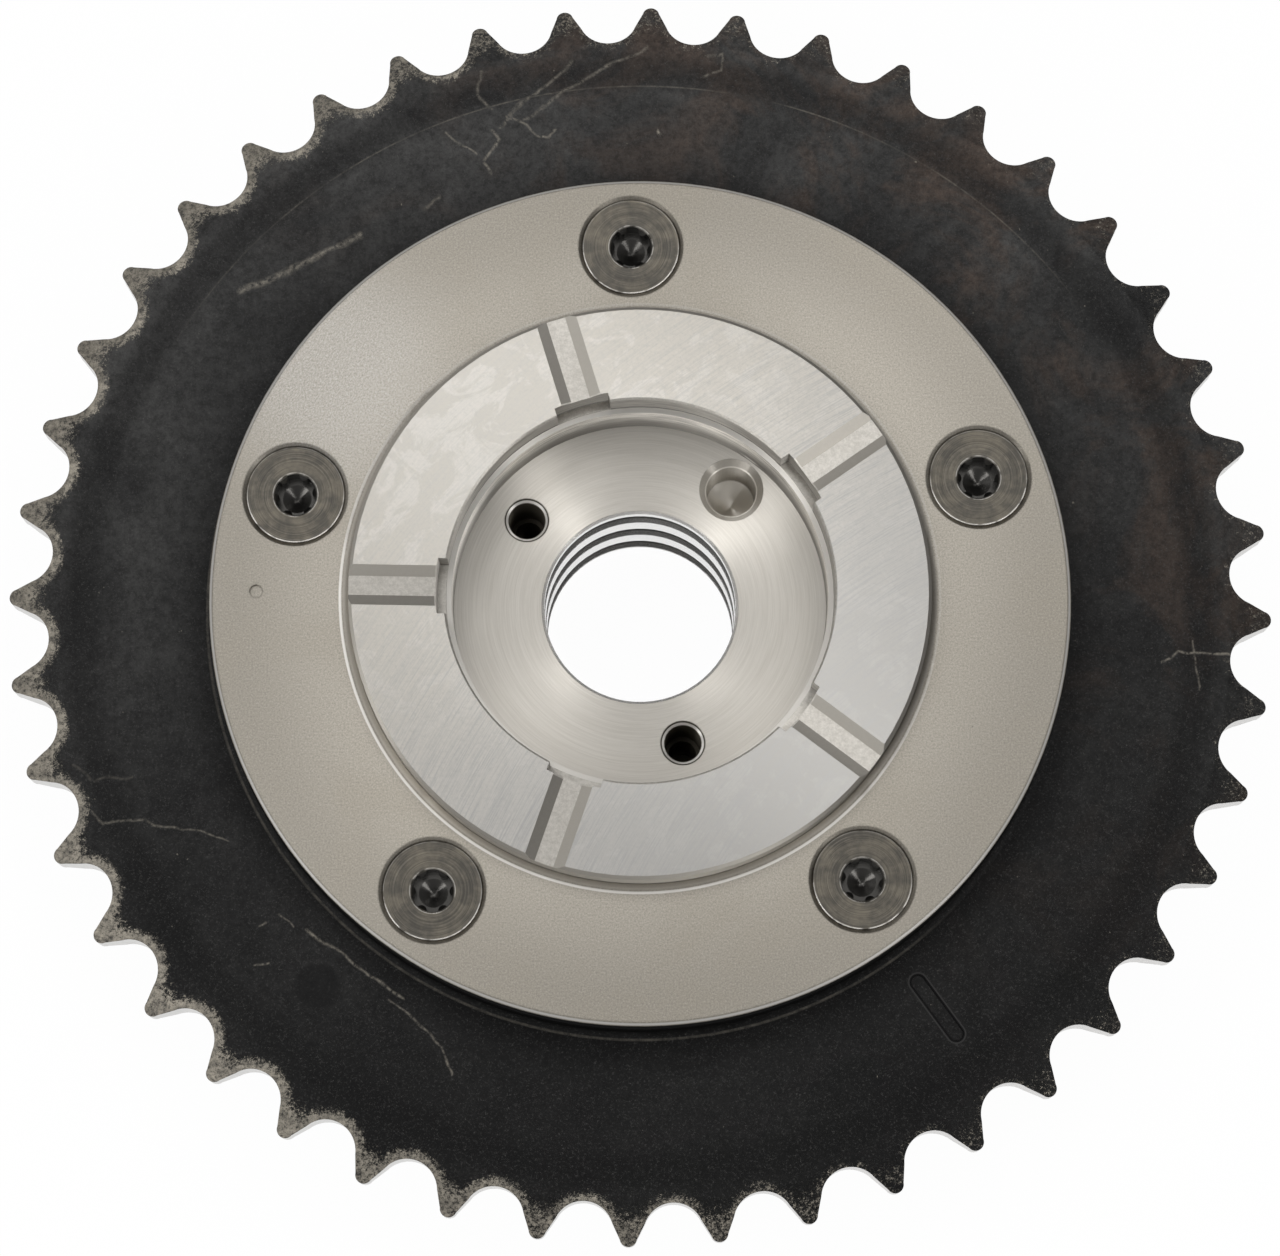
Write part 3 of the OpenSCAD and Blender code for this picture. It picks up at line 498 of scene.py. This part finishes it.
def rotor_material():
    """Machined steel: a ground face, milled grooves, a turned seat, and a bore with oil grooves."""
    s = Shader("machined_rotor")
    upward = s.step(s.nz, 0.9, 0.98)
    face = s.times(upward, s.step(s.z, FACE_Z - 0.3, FACE_Z - 0.15))
    ledge = s.band(s.z, MOUTH_Z, 0.05, 0.05)
    seat = s.times(upward, s.most(s.band(s.z, SEAT_Z, 0.3, 0.1), ledge))
    below_seat = s.step(s.z, SEAT_Z - 0.1, SEAT_Z - 0.02, 1, 0)
    in_bore = s.step(s.r, BORE_GROOVE_R + 0.1, BORE_GROOVE_R + 0.2, 1, 0)
    bore = s.times(below_seat, in_bore)
    oil_groove = s.times(bore, s.step(s.r, BORE_R + 0.4, BORE_R + 0.6))
    rings = s.noise(6.0, 5, 0.8, at=s.turned(along=0.3))
    arcs = s.noise(7.0, 4, 0.8, at=s.turned(GRINDER, along=2.0))
    cloud = s.noise(0.2, 5, 0.65, 1.2)
    fine = s.noise(2.4, 4, 0.8)
    layered = s.join(s.add(s.r, s.z), s.times(s.x, 0.05), s.times(s.y, 0.05))
    layers = s.noise(3.2, 3, 0.8, at=layered)

    ground_tone = face_tone(s, arcs, cloud, fine)
    seat_tone = s.mix(s.step(rings, 0.3, 0.7), grey(0.72, 0.12), grey(0.62, 0.14))
    seat_tone = s.mix(ledge, seat_tone, grey(0.75, 0.1))
    milled_tone = groove_tone(s, fine)
    upright = s.times(s.step(s.nz, 0.3, 0.6, 1, 0), s.step(s.r, NOTCH_R, NOTCH_R + 0.1, 1, 0))
    milled_tone = s.mix(upright, milled_tone, seat_wall_tone(s, layers))
    colour = s.mix(face, s.mix(seat, milled_tone, seat_tone), ground_tone)
    colour = s.mix(bore, colour, grey(0.9, 0.02))
    # Painted shade: the bore's oil grooves are darker, with a mottled tone.
    oil_groove_painted_shade = s.mix(s.step(fine, 0.35, 0.65), grey(0.12, 0.06), grey(0.42, 0.05))
    colour = s.mix(oil_groove, colour, oil_groove_painted_shade)
    roughness = s.blend(face, s.blend(seat, 0.45, 0.5), s.blend(cloud, 0.32, 0.4))
    roughness = s.blend(bore, roughness, 0.16)
    colour = add_oil_holes(s, colour, below_seat)
    colour = add_dowel_hole(s, colour, below_seat, fine)
    metal = s.blend(bore, 1.0, 0.8)
    marks = s.blend(face, s.blend(seat, fine, rings), arcs)
    normal = s.bump(marks, 0.003, s.edge(0.1))
    across = s.across_rings(s.vector("SCALE", GRINDER, Scale=face))
    along = s.vector("ADD", s.vector("CROSS_PRODUCT", (0, 0, 0.3), across), (0, 0, 1))
    tangent = s.mix(s.most(face, seat), along, across)
    return s.finish(colour, roughness, normal, Metallic=metal, Anisotropic=0.95, Tangent=tangent)


def screw_material():
    """Dark phosphated screws with turned heads, painted highlights on the head rims and drive
    mouths, and painted shade in the drives.
    """
    s = Shader("phosphated_screw")
    from_middle, angle, fold = s.nearest(FIRST_SCREW, SCREW_COUNT, SCREW_CIRCLE_R)
    rings = s.noise(6.0, 4, 0.9, at=s.join(from_middle, s.times(angle, 0.6), 0))
    cloud = s.noise(0.5, 4, 0.65)
    tone = s.mix(s.step(cloud, 0.35, 0.7), grey(0.08, 0.2), grey(0.15, 0.28))
    tone = s.mix(s.step(rings, 0.45, 0.62, 0, 0.6), tone, grey(0.04, 0.15))
    tone = s.mix(s.step(rings, 0.3, 0.45, 0.6, 0), tone, grey(0.26, 0.24))
    middle_y = s.times(s.math("SINE", s.minus(angle, fold)), SCREW_CIRCLE_R)
    # Painted highlight: the head's rim is bright, most on its bottom side.
    lower = s.step(s.minus(s.y, middle_y), -3, 1, 1, 0.15)
    rim = s.times(s.band(from_middle, HEAD_R, 0.06, 0.12),
                  s.step(s.noise(0.8, 3), 0.3, 0.55), lower)
    inside = s.step(s.z, PLATE_TOP_Z - 0.5, PLATE_TOP_Z - 0.35, 1, 0)
    # Painted shade: the drive recess is darker than the head.
    drive = s.times(s.step(from_middle, DRIVE_R, DRIVE_R + 0.05, 1, 0), inside)
    # Painted highlight: a broken bright ring round the drive's mouth.
    mouth = s.times(s.band(from_middle, DRIVE_R + 0.05, 0.05, 0.06),
                    s.step(s.noise(1.0, 3), 0.35, 0.55))
    rim = s.most(rim, s.times(mouth, 0.5))
    colour = s.mix(drive, s.mix(rim, tone, grey(0.6, 0.1)), grey(0.055, 0.1))
    roughness = s.blend(s.most(rim, drive), s.blend(cloud, 0.38, 0.52), 0.22)
    normal = s.bump(s.add(s.times(rings, 0.6), s.times(cloud, 0.4)), 0.012, s.edge(0.12))
    return s.finish(colour, roughness, normal, Metallic=0.9)


def steel_material(name, dark, light, roughness, scale):
    """Plain machined steel with fine turning marks and a cloudy tone."""
    s = Shader(name)
    cloud = s.noise(scale, 4, 0.6)
    rings = s.noise(4.0, 3, 0.7, at=s.turned())
    colour = s.mix(s.step(cloud, 0.35, 0.7), dark, light)
    rough = s.blend(rings, roughness - 0.08, roughness + 0.08)
    normal = s.bump(rings, 0.008, s.edge(0.12))
    return s.finish(colour, rough, normal, Metallic=1.0)


def dress(material, *nodes):
    """Gives CAD nodes one material."""
    for name in nodes:
        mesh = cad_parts[name].data
        mesh.materials.clear()
        mesh.materials.append(material)


def numbered(stem):
    """Names of the nodes that come once for each vane."""
    return [f"{stem}_{k}" for k in range(1, VANE_COUNT + 1)]


def dress_part():
    """Gives each node of the part its material."""
    dress(oxide_material(), "sprocket_housing")
    dress(plate_material(), "rear_plate")
    dress(rotor_material(), "rotor")
    dress(screw_material(), "cover_screws")
    turned_cover = steel_material("turned_cover", grey(0.34, 0.06), grey(0.42, 0.08), 0.38, 0.08)
    dress(turned_cover, "front_cover")
    hardened = steel_material("hardened_steel", grey(0.3, 0.02), grey(0.4, 0.04), 0.25, 0.3)
    dress(hardened, "lock_pin", "lock_seat")
    springs = steel_material("spring_steel", grey(0.28, 0.1), grey(0.4, 0.12), 0.3, 0.5)
    dress(springs, "lock_spring", *numbered("vane_spring"), *numbered("lobe_spring"))
    strips = steel_material("seal_strip", grey(0.05, 0.1), grey(0.08, 0.1), 0.5, 0.5)
    dress(strips, *numbered("vane_seal"), *numbered("lobe_seal"))


def compress_spring():
    """Gives the lock spring a mesh of its own."""
    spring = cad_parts["lock_spring"]
    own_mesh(spring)


def floor_material():
    """A white floor that keeps a faint shadow."""
    material = bpy.data.materials.new("white_floor")
    g = Graph(material)
    path = g.node("LightPath").outputs
    seen = g.most(path["Is Camera Ray"], path["Is Glossy Ray"], path["Is Transmission Ray"])
    share = g.times(seen, FLOOR_GLOW)
    paint = g.node("BsdfDiffuse", {"Color": grey(0.9)}).outputs[0]
    glow = g.node("Emission").outputs[0]
    surface = g.node("MixShader", {0: share, 1: paint, 2: glow}).outputs[0]
    g.node("OutputMaterial", {"Surface": surface})
    return material


def make_floor():
    """A level floor just below the part."""
    half = FLOOR_HALF_WIDTH
    mesh = bpy.data.meshes.new("floor")
    sides = [(-half, -half), (half, -half), (half, half), (-half, half)]
    mesh.from_pydata([(x, y, FLOOR_Z) for x, y in sides], [], [(0, 1, 2, 3)])
    mesh.materials.append(floor_material())
    floor = bpy.data.objects.new("floor", mesh)
    bpy.context.scene.collection.objects.link(floor)


def make_world():
    """A dim studio, lighter in front and at the left, and white where the camera sees it."""
    world = bpy.data.worlds.new("studio")
    bpy.context.scene.world = world
    g = Graph(world)
    way = g.node("TexCoord").outputs["Generated"]
    towards = g.vector("DOT_PRODUCT", way, Vector(BRIGHT_ROOM_SIDE).normalized())
    levels = {"From Min": -1.0, "From Max": 1.0, "To Min": 0.25, "To Max": 0.7}
    level = g.node("MapRange", {"Value": towards, **levels}).outputs[0]
    strength = g.blend(g.node("LightPath").outputs["Is Camera Ray"], level, 1.0)
    background = g.node("Background", {"Strength": strength}).outputs[0]
    g.node("OutputWorld", {"Surface": background})


def make_panel(name, location, width, depth, radiance):
    """A soft panel of light that faces the part and that the camera does not see."""
    data = bpy.data.lights.new(name, "AREA")
    data.shape = "RECTANGLE"
    data.size = width
    data.size_y = depth
    data.energy = radiance * math.pi * width * depth
    panel = bpy.data.objects.new(name, data)
    panel.location = location
    panel.rotation_euler = Vector(location).to_track_quat("Z", "Y").to_euler()
    panel.visible_camera = False
    bpy.context.scene.collection.objects.link(panel)


def make_camera():
    """The camera at the photograph's viewing angle."""
    data = bpy.data.cameras.new("camera")
    data.sensor_fit = "HORIZONTAL"
    data.sensor_width = SENSOR_WIDTH
    data.lens = LENS
    camera = bpy.data.objects.new("camera", data)
    camera.location = CAMERA_PLACE
    camera.rotation_euler = (math.radians(CAMERA_TILT), 0, 0)
    bpy.context.scene.collection.objects.link(camera)
    bpy.context.scene.camera = camera


dress_part()
compress_spring()
make_floor()
make_world()
for panel in PANELS:
    make_panel(*panel)
make_camera()
bpy.context.scene.view_settings.view_transform = "Standard"
